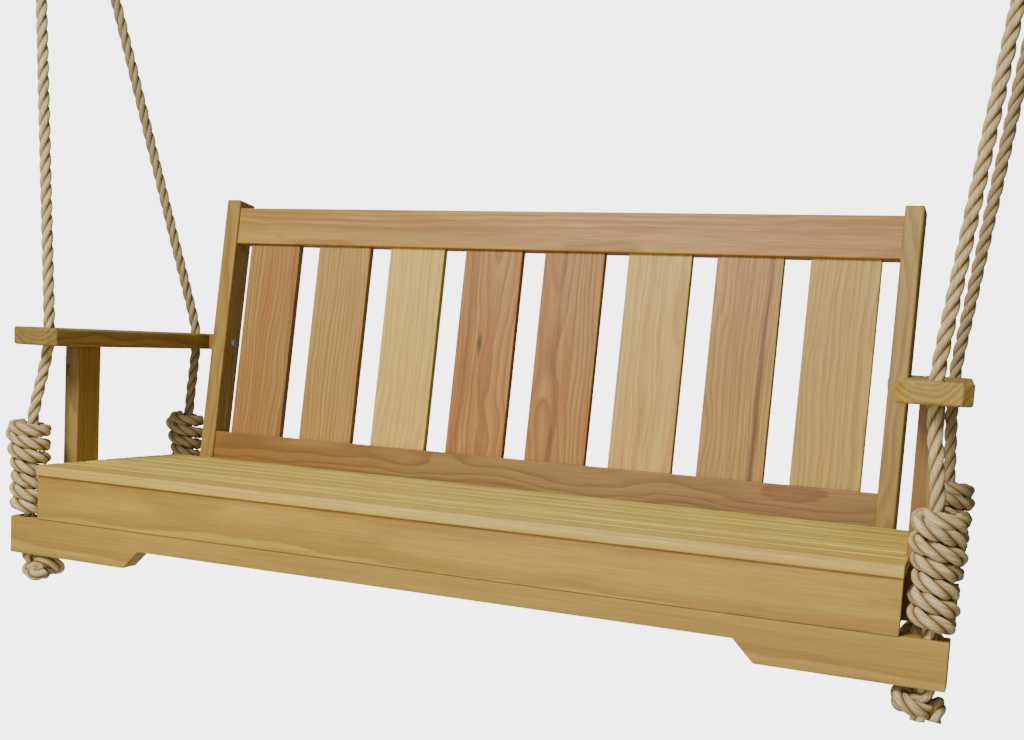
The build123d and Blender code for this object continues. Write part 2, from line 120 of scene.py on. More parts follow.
class Side(Enum):
    """A side of the bench, with the sign of its X."""

    LEFT = -1
    RIGHT = 1

    @property
    def word(self) -> str:
        """The side's name in node names."""
        return self.name.lower()


class End(Enum):
    """Whether a rope carries the front or the rear of the bench, with where its holes are.

    Each has the Y of its hole in the arm, then the X and Y of its hole in the beam.
    """

    FRONT = (0.045, 0.930, 0.022)
    REAR = (0.560, 0.917, 0.549)

    @property
    def word(self) -> str:
        """The end's name in node names."""
        return self.name.lower()

    @property
    def arm_y(self) -> float:
        """Where the rope goes through the arm."""
        return self.value[0]

    @property
    def beam_x(self) -> float:
        """How far from the middle the rope goes through the beam."""
        return self.value[1]

    @property
    def beam_y(self) -> float:
        """Where the rope goes through the beam."""
        return self.value[2]


# ------------------------------------------------------------------------------------------- shader helpers
class Shader:
    """A short way to add nodes to one node tree and to join them."""

    def __init__(self, tree: bpy.types.NodeTree) -> None:
        """Keeps the tree that nodes are added to."""
        self.tree = tree

    def node(self, kind: str, **settings: object) -> bpy.types.Node:
        """Adds a node and sets its properties.

        Args:
            kind: the node's bl_idname.
            **settings: properties of the node.

        Returns:
            The new node.
        """
        made = self.tree.nodes.new(kind)
        for key, value in settings.items():
            setattr(made, key, value)
        return made

    def feed(self, socket: bpy.types.NodeSocket, value: object) -> None:
        """Joins an output to a socket, or sets the socket's own value.

        Args:
            socket: the input that is fed.
            value: an output to join, or a plain value.
        """
        if isinstance(value, bpy.types.NodeSocket):
            self.tree.links.new(value, socket)
        else:
            socket.default_value = value

    def math(self, operation: str, *values: object) -> bpy.types.NodeSocket:
        """Adds a Math node.

        Args:
            operation: what it does.
            *values: what feeds its inputs, in order.

        Returns:
            Its result.
        """
        made = self.node("ShaderNodeMath", operation=operation)
        for socket, value in zip(made.inputs, values):
            self.feed(socket, value)
        return made.outputs[0]

    def sum(self, first: object, second: object, share: float = 1.0) -> bpy.types.NodeSocket:
        """Adds a share of a second value to a first."""
        return self.math("ADD", first, second if share == 1.0 else self.product(second, share))

    def product(self, first: object, second: object) -> bpy.types.NodeSocket:
        """Multiplies two values."""
        return self.math("MULTIPLY", first, second)

    def packed(self, *values: object) -> bpy.types.NodeSocket:
        """Puts up to three values into a vector.

        Args:
            *values: what feeds X, Y and Z.

        Returns:
            The vector.
        """
        made = self.node("ShaderNodeCombineXYZ")
        for socket, value in zip(made.inputs, values):
            self.feed(socket, value)
        return made.outputs[0]

    def vector(self, operation: str, *values: object, output: str = "Vector") -> bpy.types.NodeSocket:
        """Adds a Vector Math node.

        Args:
            operation: what it does.
            *values: what feeds its inputs, in order.
            output: which of its results is wanted.

        Returns:
            That result.
        """
        made = self.node("ShaderNodeVectorMath", operation=operation)
        for socket, value in zip(made.inputs, values):
            self.feed(socket, value)
        return made.outputs[output]

    def noise(
        self, vector: object, scale: float, detail: float, roughness: float = 0.55, output: str = "Fac"
    ) -> bpy.types.NodeSocket:
        """Adds a Noise Texture.

        Args:
            vector: where it is read.
            scale: how fine it is.
            detail: how many octaves it has.
            roughness: how strong the finer octaves are.
            output: which of its outputs is wanted.

        Returns:
            That output.
        """
        made = self.node("ShaderNodeTexNoise")
        self.feed(made.inputs["Vector"], vector)
        made.inputs["Scale"].default_value = scale
        made.inputs["Detail"].default_value = detail
        made.inputs["Roughness"].default_value = roughness
        return made.outputs[output]

    def remap(
        self, value: object, low: object, high: object, to_low: object = 0.0, to_high: object = 1.0,
        smooth: bool = False,
    ) -> bpy.types.NodeSocket:
        """Adds a Map Range node that clamps.

        Args:
            value: what is mapped.
            low: the value that becomes to_low.
            high: the value that becomes to_high.
            to_low: the result at the low end.
            to_high: the result at the high end.
            smooth: whether the result eases in and out.

        Returns:
            The mapped value.
        """
        made = self.node("ShaderNodeMapRange", interpolation_type="SMOOTHSTEP" if smooth else "LINEAR")
        for socket, given in zip(made.inputs, (value, low, high, to_low, to_high)):
            self.feed(socket, given)
        return made.outputs[0]

    def mix(self, share: object, first: object, second: object, blend: str = "MIX") -> bpy.types.NodeSocket:
        """Adds a colour Mix node.

        Args:
            share: how much of the second colour there is.
            first: the first colour.
            second: the second colour.
            blend: how they are blended.

        Returns:
            The mixed colour.
        """
        made = self.node("ShaderNodeMix", data_type="RGBA", blend_type=blend, clamp_factor=True)
        self.feed(made.inputs[0], share)
        self.feed(made.inputs[6], first)
        self.feed(made.inputs[7], second)
        return made.outputs[2]

    def scaled(self, vector: object, x: float, y: float, z: float) -> bpy.types.NodeSocket:
        """Stretches a vector by a factor along each axis."""
        return self.vector("MULTIPLY", vector, (x, y, z))

    def tinted(self, colour: object, pattern: object, dark: float, light: float) -> bpy.types.NodeSocket:
        """Shades a colour by a noise pattern, between a darker and a lighter share of it."""
        return self.mix(1.0, colour, self.remap(pattern, 0.30, 0.70, dark, light), "MULTIPLY")

    def give(self, **results: object) -> None:
        """Feeds the outputs of the group that the tree is.

        Args:
            **results: what feeds each output, by name.
        """
        out = self.node("NodeGroupOutput").inputs
        for key, value in results.items():
            self.feed(out[key], value)


def new_group(name: str, inputs: dict[str, object]) -> tuple[bpy.types.NodeTree, Shader]:
    """Starts a shader node group that puts out a colour, a roughness and a height.

    Args:
        name: the group's name.
        inputs: each input's name with its default value, which gives its kind.

    Returns:
        The group and a Shader that adds nodes to it.
    """
    tree = bpy.data.node_groups.new(name, "ShaderNodeTree")
    for key, value in inputs.items():
        if isinstance(value, (int, float)):
            kind = "NodeSocketFloat"
        else:
            kind = "NodeSocketColor" if len(value) == 4 else "NodeSocketVector"
        tree.interface.new_socket(key, in_out="INPUT", socket_type=kind).default_value = value
    for key in ("Color", "Roughness", "Height"):
        kind = "NodeSocketColor" if key == "Color" else "NodeSocketFloat"
        tree.interface.new_socket(key, in_out="OUTPUT", socket_type=kind)
    return tree, Shader(tree)


OIL_DEPTH = 1.6
OIL_GAINS = (1.10, 1.22, 0.72)


def srgb(red: float, green: float, blue: float) -> tuple[float, float, float, float]:
    """A colour given as it looks on a screen, 0 to 255, made linear."""
    linear = (((c / 255 + 0.055) / 1.055) ** 2.4 if c > 10 else c / 255 / 12.92 for c in (red, green, blue))
    return (*linear, 1.0)


def oiled(red: float, green: float, blue: float) -> tuple[float, float, float, float]:
    """A wood colour as it looks in plain light, deepened to what the oiled wood itself is."""
    *dry, alpha = srgb(red, green, blue)
    return (*(gain * channel ** OIL_DEPTH for gain, channel in zip(OIL_GAINS, dry)), alpha)


def start_material(name: str) -> tuple[bpy.types.Material, Shader, bpy.types.Node]:
    """Makes a material that holds only a Principled shader.

    Args:
        name: the material's name.

    Returns:
        The material, a Shader for its nodes, and the Principled node.
    """
    material = bpy.data.materials.new(name)
    material.use_nodes = True
    principled = material.node_tree.nodes["Principled BSDF"]
    return material, Shader(material.node_tree), principled


# ---------------------------------------------------------------------------------------------------- ropes
@dataclass(frozen=True)
class RopeLay:
    """How a three-strand rope is laid.

    strand_offset is how far a strand's middle is from the rope's, as a share of the rope's radius. around and
    step are how finely the skin is made, round the rope and along it.
    """

    diameter: float = 0.0254
    lay_length: float = 0.100
    strand_offset: float = 0.41
    around: int = 42
    step: float = 0.0034

    @property
    def radius(self) -> float:
        """Half the rope's diameter."""
        return self.diameter / 2

    def section(self, angle: float) -> float:
        """How far the rope's surface is from its middle.

        Args:
            angle: the angle round the rope from a strand's crown.

        Returns:
            The distance, in metres.
        """
        crown = math.remainder(angle, math.tau / 3)
        offset = self.strand_offset
        reach = (1 - offset) ** 2 - (offset * math.sin(crown)) ** 2
        return self.radius * (offset * math.cos(crown) + math.sqrt(reach))


def smooth_line(points: Iterable[Vector], name: str, resolution: int = 12) -> list[Vector]:
    """The line of a NURBS spline through a route, evenly read.

    Args:
        points: the route's control points.
        name: a name for the curve while it exists.
        resolution: how finely the spline is read between points.

    Returns:
        The points down the middle of the cord.
    """
    route = list(points)
    curve = bpy.data.curves.new(name, "CURVE")
    curve.dimensions = "3D"
    curve.resolution_u = resolution
    spline = curve.splines.new("NURBS")
    spline.points.add(len(route) - 1)
    for control, point in zip(spline.points, route):
        control.co = (*point, 1.0)
    spline.order_u = 3
    spline.use_endpoint_u = True
    holder = bpy.data.objects.new(name, curve)
    mesh = bpy.data.meshes.new_from_object(holder)
    line = [vertex.co.copy() for vertex in mesh.vertices]
    bpy.data.meshes.remove(mesh)
    bpy.data.objects.remove(holder)
    bpy.data.curves.remove(curve)
    return line


def evenly(line: Sequence[Vector], step: float) -> list[Vector]:
    """Reads a line again with points evenly apart.

    Args:
        line: the line's points.
        step: about how far apart the new points are.

    Returns:
        The new points, with the same ends.
    """
    lengths = [(b - a).length for a, b in zip(line, line[1:])]
    count = max(2, math.ceil(sum(lengths) / step))
    spaced, index, passed = [line[0].copy()], 0, 0.0
    for number in range(1, count):
        at = sum(lengths) * number / count
        while passed + lengths[index] < at:
            passed += lengths[index]
            index += 1
        spaced.append(line[index].lerp(line[index + 1], (at - passed) / lengths[index]))
    return spaced + [line[-1].copy()]


def run_length(line: Sequence[Vector]) -> float:
    """How long a line is."""
    return sum((b - a).length for a, b in zip(line, line[1:]))


def carried_frames(line: Sequence[Vector]) -> list[tuple[Vector, Vector]]:
    """Directions across a line that turn about it no more than they have to.

    Args:
        line: the line's points.

    Returns:
        For each point, the unit vectors to the side and up.
    """
    frames = []
    side = None
    for index, _ in enumerate(line):
        before, after = line[max(index - 1, 0)], line[min(index + 1, len(line) - 1)]
        along = (after - before).normalized()
        if side is None:
            side = along.orthogonal()
        side = (side - along * side.dot(along)).normalized()
        frames.append((side, along.cross(side)))
    return frames


def finished(name: str, mesh_maker: bmesh.types.BMesh, material: bpy.types.Material) -> bpy.types.Object:
    """Makes a smooth object from a bmesh and frees the bmesh.

    Args:
        name: the object's name.
        mesh_maker: the bmesh.
        material: the object's one material.

    Returns:
        The object, linked to the scene.
    """
    mesh = bpy.data.meshes.new(name)
    mesh_maker.to_mesh(mesh)
    mesh_maker.free()
    mesh.materials.append(material)
    mesh.shade_smooth()
    made = bpy.data.objects.new(name, mesh)
    bpy.context.scene.collection.objects.link(made)
    return made


class RopeWeaver:
    """Makes laid rope along a line, with yarns that its material follows in UV."""

    def __init__(self, lay: RopeLay, material: bpy.types.Material) -> None:
        """Keeps the lay and the finish of the rope."""
        self.lay = lay
        self.material = material

    def weave(
        self, name: str, line: Sequence[Vector], taper: Callable[[float], float] = lambda share: 1.0,
        phase: float = 0.0,
    ) -> bpy.types.Object:
        """Makes one length of rope as a closed skin over its three strands.

        Args:
            name: the piece's name.
            line: the points down its middle.
            taper: the rope's thickness as a share of full, against the share of its length.
            phase: where its strands start, in radians.

        Returns:
            The piece, with a UV map and a groove attribute.
        """
        lay = self.lay
        spaced = evenly(line, lay.step)
        frames = carried_frames(spaced)
        rows = len(spaced) - 1
        total = run_length(spaced)
        skin = bmesh.new()
        uv = skin.loops.layers.uv.new("lay")
        bmesh.ops.create_grid(skin, x_segments=rows, y_segments=lay.around, size=1.0, calc_uvs=True)
        groove = skin.verts.layers.float.new("groove")
        for vertex in skin.verts:
            index = round((vertex.co.x + 1) / 2 * rows)
            around = (vertex.co.y + 1) / 2 * math.tau
            share = index / rows
            twist = math.tau * share * total / lay.lay_length + phase
            side, up = frames[index]
            reach = lay.section(around) * taper(share)
            vertex[groove] = lay.section(around) / lay.radius
            spin = around + twist
            vertex.co = spaced[index] + (side * math.cos(spin) + up * math.sin(spin)) * reach
        for face in skin.faces:
            for loop in face.loops:
                loop[uv].uv.x *= total
        bmesh.ops.remove_doubles(skin, verts=skin.verts, dist=SEAM)
        rims = [edge for edge in skin.edges if edge.is_boundary]
        bmesh.ops.holes_fill(skin, edges=rims, sides=0)
        bmesh.ops.recalc_face_normals(skin, faces=skin.faces)
        return finished(name, skin, self.material)


@dataclass(frozen=True)
class RopeRoute:
    """The places on one rope, in bench axes, as the ropes' tubes have them.

    A share says how far a point is along the way between two places.
    """

    side: Side
    end: End
    arm_hole_x: float = 0.9036
    arm_top: float = 0.488
    arm_under: float = 0.450
    bend_rise: float = 0.010
    beam_top: float = 0.080
    wrap_height: float = 0.207
    wrap_bend_rise: float = 0.015
    wrap_lean: float = 0.006
    pin: tuple[float, float, float] = (1.0894, 0.1492, 2.0355)
    pin_step: float = 0.016
    eye_radius: float = 0.030
    eye_throat: float = 0.105
    eye_ease: float = 1.03
    eye_sweep: int = 100
    eye_step: int = 25
    leg_share: float = 0.5
    tail_share: float = 0.35
    splice_length: float = 0.110
    corner_share: float = 0.09
    foot_share: float = 0.75

    @property
    def name(self) -> str:
        """The rope's place in node names."""
        return f"{self.end.word}_{self.side.word}"

    @property
    def middle(self) -> Vector:
        """The middle of the eye, on its bracket pin."""
        step = -self.pin_step if self.end is End.FRONT else self.pin_step
        return Vector((self.side.value * (self.pin[0] + step), self.pin[1], self.pin[2]))

    @property
    def corner(self) -> Vector:
        """Where the rope turns upright, above the arm."""
        return Vector((self.side.value * self.arm_hole_x, self.end.arm_y, self.arm_top + self.bend_rise))

    @property
    def down(self) -> Vector:
        """From the pin towards the arm, square to the pin."""
        reach = self.corner - self.middle
        return Vector((0.0, reach.y, reach.z)).normalized()

    @property
    def throat(self) -> Vector:
        """Where the two legs of the eye come together."""
        return self.middle + self.down * self.eye_throat

    @property
    def splice_end(self) -> Vector:
        """Where the splice ends and the plain rope begins."""
        return self.throat + (self.corner - self.throat).normalized() * self.splice_length

    @property
    def foot(self) -> Vector:
        """The middle of the hole in the beam, at the beam's underside."""
        return Vector((self.side.value * self.end.beam_x, self.end.beam_y, 0.0))

    def eye_points(self) -> list[Vector]:
        """Leads the rope from its tail in the splice up one leg, over the thimble and down the other leg.

        Returns:
            The points, in bench axes.
        """
        across = Vector((1, 0, 0)).cross(self.down)
        round_eye = []
        for degrees in range(-self.eye_sweep, self.eye_sweep + 1, self.eye_step):
            swing = math.radians(degrees)
            ray = across * math.sin(swing) - self.down * math.cos(swing)
            round_eye.append(self.middle + ray * self.eye_radius * self.eye_ease)
        tail = self.throat.lerp(self.splice_end, self.tail_share)
        first_leg, last_leg = (self.throat.lerp(round_eye[at], self.leg_share) for at in (0, -1))
        return [tail, self.throat, first_leg, *round_eye, last_leg]

    def run_points(self) -> list[Vector]:
        """Leads the rope from the throat taut through the arm and the beam.

        Returns:
            The points, in bench axes.
        """
        sign = self.side.value
        low_corner = Vector((sign * self.arm_hole_x, self.end.arm_y, self.arm_under - self.bend_rise))
        wrap_top = self.beam_top + self.wrap_height + self.wrap_bend_rise
        wrap_corner = Vector((sign * self.end.beam_x - sign * self.wrap_lean, self.end.beam_y, wrap_top))
        return [
            self.throat, self.splice_end, self.corner.lerp(self.splice_end, self.corner_share), self.corner,
            low_corner, wrap_corner, self.foot.lerp(wrap_corner, self.foot_share), self.foot,
        ]

    def points(self) -> list[Vector]:
        """The whole route, in the frame's axes."""
        return [BENCH.place(point) for point in self.eye_points() + self.run_points()]


@dataclass(frozen=True)
class WrapShape:
    """The turns of rope wound round one rope above its beam, from the top down.

    The first turn lies level. The rope then crosses down over its own beginning and goes on as a helix whose
    turns all tilt the same way, wider at the head and tight below. long_wander and short_wander make the
    turns uneven: how far, how often and, for the long one, how much it differs from rope to rope. Angles are
    in degrees.
    """

    route: RopeRoute
    turns: float = 6.75
    low_radius: float = 0.0268
    head_radius: float = 0.0325
    points_per_turn: int = 16
    level_share: float = 0.25
    cross_from: float = 335.0
    cross_to: float = 425.0
    cross_drop: float = 0.0215
    cross_bulge: float = 0.013
    tilt: float = 0.0032
    level_last: float = 420.0
    head_share: float = 0.45
    head_fade: float = 0.12
    tuck: float = 0.006
    tuck_to: float = 60.0
    start_left: float = 160.0
    start_right: float = 222.0
    long_wander: tuple[float, float, float] = (0.0009, 0.37, 40.0)
    short_wander: tuple[float, float] = (0.0006, 1.7)

    @property
    def total(self) -> float:
        """How far the rope turns in all."""
        return 360 * self.turns

    def across(self, turned: float) -> float:
        """How far the rope has crossed over its beginning, from 0 to 1."""
        return min(1.0, max(0.0, (turned - self.cross_from) / (self.cross_to - self.cross_from)))

    def drop(self, turned: float, height: float) -> float:
        """How far down the rope has come.

        Args:
            turned: how far it has turned.
            height: how far down it comes in all.

        Returns:
            The drop below its beginning.
        """
        if turned > self.cross_to:
            rest = (turned - self.cross_to) / (self.total - self.cross_to)
            return self.cross_drop + (height - self.cross_drop) * rest
        level_drop = self.cross_drop * self.level_share
        across = self.across(turned)
        drop = level_drop * min(1.0, turned / self.cross_from)
        return drop + (self.cross_drop - level_drop) * across * across * (3 - 2 * across)

    def radius(self, turned: float, angle: float) -> float:
        """How far the rope is from the middle of the wrap.

        Args:
            turned: how far it has turned, in degrees.
            angle: where it is round the wrap, in radians.

        Returns:
            The distance.
        """
        loose = min(1.0, max(0.0, (self.head_share - turned / self.total) / self.head_fade))
        radius = self.low_radius + (self.head_radius - self.low_radius) * loose
        bulge = self.cross_bulge * math.sin(math.pi * self.across(turned))
        radius += bulge - self.tuck * max(0.0, 1 - turned / self.tuck_to)
        long_reach, long_pace, shift = self.long_wander
        short_reach, short_pace = self.short_wander
        long_sway = long_reach * math.sin(angle * long_pace + self.route.end.beam_y * shift)
        return radius + (long_sway + short_reach * math.sin(angle * short_pace))

    def points(self) -> list[Vector]:
        """Winds the rope down from the top of the wrap to the beam.

        Returns:
            The wound rope's route, in the frame's axes.
        """
        half = RopeLay().radius
        rope = self.route
        top, bottom = rope.beam_top + rope.wrap_height - half - self.tilt / 2, rope.beam_top + half
        start = self.start_left if rope.side is Side.LEFT else self.start_right
        count = round(self.turns * self.points_per_turn)
        placed = []
        for number in range(count + 1):
            turned = self.total * number / count
            angle = math.radians(start + turned)
            radius = self.radius(turned, angle)
            tilt = self.tilt * min(1.0, (self.total - turned) / self.level_last) * math.cos(angle)
            x = rope.side.value * rope.end.beam_x + radius * math.cos(angle)
            y = rope.end.beam_y + radius * math.sin(angle)
            placed.append(BENCH.place((x, y, top - self.drop(turned, top - bottom) - tilt)))
        return placed


@dataclass(frozen=True)
class KnotShape:
    """A trefoil knot drawn up under a beam, entered from the rope's hole and left as a short cut end.

    lean is the way that the knot's middle lies from the rope. tail is the way the cut end goes from the last
    loop, and stub the way a second cut end hangs out of the knot. The knot starts at the angle start, goes
    round by arc, in degrees, and meets the rope at the angle meet. entry is the heights at which the rope
    comes down to it.
    """

    lean: tuple[float, float]
    tail: tuple[tuple[float, float, float], ...]
    stub: tuple[tuple[float, float, float], ...] = ()
    size: float = 0.0129
    lobe: float = 0.95
    start: float = 30.0
    arc: float = 322.0
    meet: float = 60.0
    steps: int = 26
    below: float = 0.0145
    entry: tuple[float, float] = (0.016, 0.002)

    @property
    def heading(self) -> float:
        """The angle of the way from the rope to the knot's middle, seen from above."""
        return math.atan2(self.lean[1], self.lean[0])

    def middle(self, route: RopeRoute) -> Vector:
        """The middle of the knot, in bench axes."""
        reach = 2 * self.size
        aside = Vector((reach * math.cos(self.heading), reach * math.sin(self.heading), 0.0))
        return route.foot + aside - Vector((0.0, 0.0, self.below + self.size))

    def points(self, route: RopeRoute) -> list[Vector]:
        """Leads the rope down, round the knot and out as its cut end.

        Args:
            route: the rope that is knotted.

        Returns:
            The points, in the frame's axes.
        """
        middle = self.middle(route)
        spin = self.heading + math.pi + math.radians(self.meet)
        placed = [route.foot + Vector((0.0, 0.0, height)) for height in self.entry]
        for number in range(self.steps + 1):
            angle = math.radians(self.start + self.arc * number / self.steps)
            out = self.size * (2 + self.lobe * math.cos(3 * angle))
            at = spin - 2 * angle
            rise = self.size * math.sin(3 * angle)
            placed.append(middle + Vector((out * math.cos(at), out * math.sin(at), rise)))
        last = placed[-1]
        placed += [last + Vector(step) for step in self.tail]
        return [BENCH.place(point) for point in placed]

    def stub_points(self, route: RopeRoute) -> list[Vector]:
        """The second cut end's route, in the frame's axes."""
        return [BENCH.place(self.middle(route) + Vector(step)) for step in self.stub]


KNOTS = {
    "front_left": KnotShape(
        lean=(0.027, 0.013), size=0.0138,
        tail=((0.014, -0.006, -0.006), (0.028, -0.003, -0.004), (0.037, 0.004, 0.008))),
    "front_right": KnotShape(
        lean=(-0.016, 0.025),
        tail=((-0.003, -0.014, -0.008), (-0.005, -0.024, -0.015), (-0.006, -0.027, -0.024)),
        stub=(
            (0.006, -0.006, 0.0), (0.006, -0.022, -0.008), (0.006, -0.028, -0.018), (0.006, -0.029, -0.028))),
    "rear_left": KnotShape(
        lean=(0.030, 0.0), tail=((0.010, -0.010, -0.010), (0.016, -0.016, -0.022), (0.018, -0.018, -0.030))),
    "rear_right": KnotShape(
        lean=(-0.030, 0.004), tail=((0.010, 0.006, -0.008), (0.016, 0.012, -0.018), (0.018, 0.014, -0.028))),
}


@dataclass(frozen=True)
class Ropes:
    """Builds the four ropes with their splices, wraps and knots.

    A thickness is a share of the plain rope's.
    """

    finishes: dict[End, bpy.types.Material]
    lay: RopeLay = RopeLay()
    splice_lay: RopeLay = RopeLay(lay_length=-0.056, around=48)
    splice_overlap: float = 0.012
    splice_steps: int = 8
    splice_thick: float = 1.36
    splice_loss: float = 0.38
    splice_fall: float = 1.4
    knot_thick: float = 1.05
    knot_phase: float = 1.1
    knot_smooth: int = 6
    wrap_thick: float = 1.12
    wrap_smooth: int = 4

    def build(self) -> None:
        """Makes every rope, front and rear on each side."""
        for side in Side:
            for end in End:
                route = RopeRoute(side, end)
                self.main_rope(route, [*self.knot(route), self.splice(route)])
                self.wrap(route)

    def weaver(self, route: RopeRoute) -> RopeWeaver:
        """What makes the plain rope of a route."""
        return RopeWeaver(self.lay, self.finishes[route.end])

    def main_rope(self, route: RopeRoute, pieces: list[bpy.types.Object]) -> None:
        """Makes one rope from its eye to its knot.

        Args:
            route: the rope's route.
            pieces: its splice, its knot and its cut ends, which move with it; not used.
        """
        line = smooth_line(route.points(), f"route_{route.name}")
        piece = self.weaver(route).weave(f"laid_rope_{route.name}", line)
        length = run_length(line)
        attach(piece, SWING)
        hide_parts(f"rope_{route.name}", f"rope_eye_{route.name}")
        log.info("rope %s is %.3f m long", route.name, length)

    def splice(self, route: RopeRoute) -> bpy.types.Object:
        """Makes the tucks of the eye splice, a short thicker lay that tapers into the plain rope.

        Args:
            route: the rope that is spliced.

        Returns:
            The splice.
        """
        down = (route.corner - route.throat).normalized()
        start = route.throat - down * self.splice_overlap
        steps = range(self.splice_steps + 1)
        line = [BENCH.place(start.lerp(route.splice_end, step / self.splice_steps)) for step in steps]
        piece = RopeWeaver(self.splice_lay, self.finishes[route.end]).weave(
            f"splice_{route.name}", line,
            taper=lambda share: self.splice_thick - self.splice_loss * share ** self.splice_fall)
        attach(piece, SWING)
        log.info("%s is tucked", piece.name)
        return piece

    def knot(self, route: RopeRoute) -> list[bpy.types.Object]:
        """Ties the knot that holds the beam, with its cut ends.

        Args:
            route: the rope that is knotted.

        Returns:
            The knot and, where it has one, its second cut end.
        """
        shape = KNOTS[route.name]
        routes = {f"tied_knot_{route.name}": shape.points(route)}
        if shape.stub:
            routes[f"knot_end_{route.name}"] = shape.stub_points(route)
        pieces = []
        for name, points in routes.items():
            line = smooth_line(points, f"route_of_{name}", self.knot_smooth)
            piece = self.weaver(route).weave(
                name, line, taper=lambda share: self.knot_thick, phase=self.knot_phase)
            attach(piece, SWING)
            log.info("%s is tied", name)
            pieces.append(piece)
        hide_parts(f"stopper_knot_{route.name}")
        return pieces

    def wrap(self, route: RopeRoute) -> None:
        """Winds the rope's tail round it above the beam.

        Args:
            route: the rope that is wound.
        """
        line = smooth_line(WrapShape(route).points(), f"wrap_route_{route.name}", self.wrap_smooth)
        piece = self.weaver(route).weave(
            f"wound_rope_{route.name}", line, taper=lambda share: self.wrap_thick)
        length = run_length(line)
        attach(piece, SWING)
        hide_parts(f"rope_wrap_{route.name}")
        log.info("wrap %s is %.3f m of rope", route.name, length)


# ---------------------------------------------------------------------------------------------- rope finish
def rope_group() -> bpy.types.NodeTree:
    """Makes the group that draws laid fibre rope from its lay UV and its groove attribute.

    Returns:
        The group.
    """
    tree, shader = new_group("laid_fibre", {
        "Crown": srgb(226, 208, 168), "Flank": srgb(180, 150, 94), "Deep": srgb(70, 50, 32),
        "Weathered": srgb(148, 136, 104), "Weather Share": 0.3, "Lay": 0.1, "Seed": 0.0,
    })
    given = shader.node("NodeGroupInput").outputs
    groove = shader.node("ShaderNodeAttribute", attribute_name="groove").outputs["Fac"]
    split = shader.node("ShaderNodeSeparateXYZ")
    shader.feed(split.inputs[0], shader.node("ShaderNodeUVMap", uv_map="lay").outputs[0])
    run, around = split.outputs[0], split.outputs[1]
    spin = shader.product(shader.sum(around, shader.math("DIVIDE", run, given["Lay"])), math.tau)

    def yarns(radius: float, stretch: float, detail: float) -> bpy.types.NodeSocket:
        """Noise drawn out along the rope's axis, without a seam round it.

        Args:
            radius: how fine it is round the rope.
            stretch: how fine it is along the rope.
            detail: how many octaves it has.

        Returns:
            The noise.
        """
        place = shader.packed(
            shader.product(shader.math("COSINE", spin), radius),
            shader.product(shader.math("SINE", spin), radius),
            shader.sum(given["Seed"], run, stretch))
        return shader.noise(place, 1.0, detail, roughness=0.6)

    fine = yarns(radius=11.0, stretch=34.0, detail=3.0)
    coarse = yarns(radius=4.2, stretch=22.0, detail=2.0)
    patches = yarns(radius=0.9, stretch=7.0, detail=2.0)

    # Painted highlight and shade: the strands' crowns get the light Crown colour and their flanks the darker
    # Flank colour, as lit tops and shaded sides.
    crown = shader.remap(groove, 0.80, 0.97, smooth=True)
    colour = shader.mix(crown, given["Flank"], given["Crown"])
    colour = shader.mix(shader.remap(coarse, 0.40, 0.70), colour, given["Flank"])
    # Grey weathered patches; on the rear pair their larger share is painted shade.
    weather_and_shade_patches = shader.remap(patches, 0.38, 0.66, smooth=True)
    colour = shader.mix(shader.product(weather_and_shade_patches, given["Weather Share"]), colour, given["Weathered"])
    colour = shader.tinted(colour, fine, 0.66, 1.24)
    # Painted shade: the grooves between the strands are darkened to a deep brown, for the shade that falls in
    # them.
    groove_shade = shader.remap(shader.sum(groove, fine, 0.08), 0.70, 0.84, 1.0, 0.0, smooth=True)
    shader.give(
        Color=shader.mix(groove_shade, colour, given["Deep"]),
        Roughness=shader.remap(fine, 0.3, 0.7, 0.95, 0.78),
        Height=shader.sum(fine, coarse, 0.6))
    return tree


# ---------------------------------------------------------------------------------------------- wood finish
BACK_LEAN = math.radians(7.6)


class Grain(Enum):
    """Which way a board's grain runs: the bench directions along it, across its face and through it."""

    LENGTH = ((1, 0, 0), (0, 0, 1), (0, 1, 0))
    SEAT = ((1, 0, 0), (0, 1, 0), (0, 0, 1))
    DEPTH = ((0, 1, 0), (1, 0, 0), (0, 0, 1))
    HEIGHT = ((0, 0, 1), (1, 0, 0), (0, 1, 0))
    BACK = (
        (0, math.sin(BACK_LEAN), math.cos(BACK_LEAN)),
        (1, 0, 0),
        (0, math.cos(BACK_LEAN), -math.sin(BACK_LEAN)),
    )


@dataclass(frozen=True)
class BoardFinish:
    """How one board looks.

    tone is its mean colour and redness the share of red heartwood. ring_gap is how far apart its rings are,
    pith is where their middle lies, across and through the board, and waver how much they stray. streak is a
    dark stripe's place across the board, its width and its strength, and mark a dark spot's place along and
    across the board and its strength. Places are from the board's middle, in metres.
    """

    tone: tuple[int, int, int]
    grain: Grain
    contrast: float = 0.55
    ring_gap: float = 0.010
    pith: tuple[float, float] = (0.02, 0.09)
    redness: float = 0.25
    streak: tuple[float, float, float] = (0.0, 0.01, 0.0)
    mark: tuple[float, float, float] = (0.0, 0.0, 0.0)
    waver: float = 1.0

    def colours(self) -> dict[str, tuple[float, ...]]:
        """The light wood, the dark rings, the red tint and the streak, from the mean colour."""
        return {
            key: oiled(*(min(255, channel * share) for channel, share in zip(self.tone, shares)))
            for key, shares in WOOD_SHADES.items()
        }


WOOD_SHADES = {
    "Light": (1.05, 1.06, 1.08),
    "Dark": (0.86, 0.79, 0.70),
    "Tint": (0.99, 0.86, 0.77),
    "Streak Color": (0.72, 0.60, 0.56),
}


